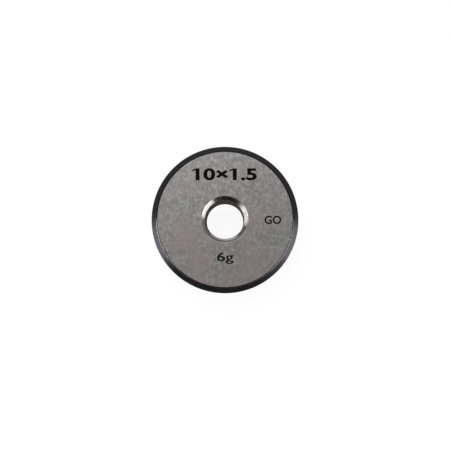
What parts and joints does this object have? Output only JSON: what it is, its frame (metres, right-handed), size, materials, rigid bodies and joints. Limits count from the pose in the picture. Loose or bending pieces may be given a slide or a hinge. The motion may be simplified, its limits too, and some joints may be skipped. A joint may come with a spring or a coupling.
{
  "type": "thread ring gauge",
  "caption": "Hardened steel ring with a ground internal screw thread. A screw of the right size turns freely through it, so it checks external threads by hand.",
  "frame": {"origin": "on the thread's axis, in the plane of the back face that the ring lies on", "axes": "+Z along the thread's axis, out of the marked front face; +Y toward the size mark's place, which is the top of the face as it is read; +X toward the right of the face"},
  "size_m": [0.032, 0.032, 0.012],
  "materials": {
    "steel": "ground faces, countersinks and thread, with a blackened rim"
  },
  "bodies": {
    "root": {"gauge_ring": "steel"}
  },
  "joints": []
}
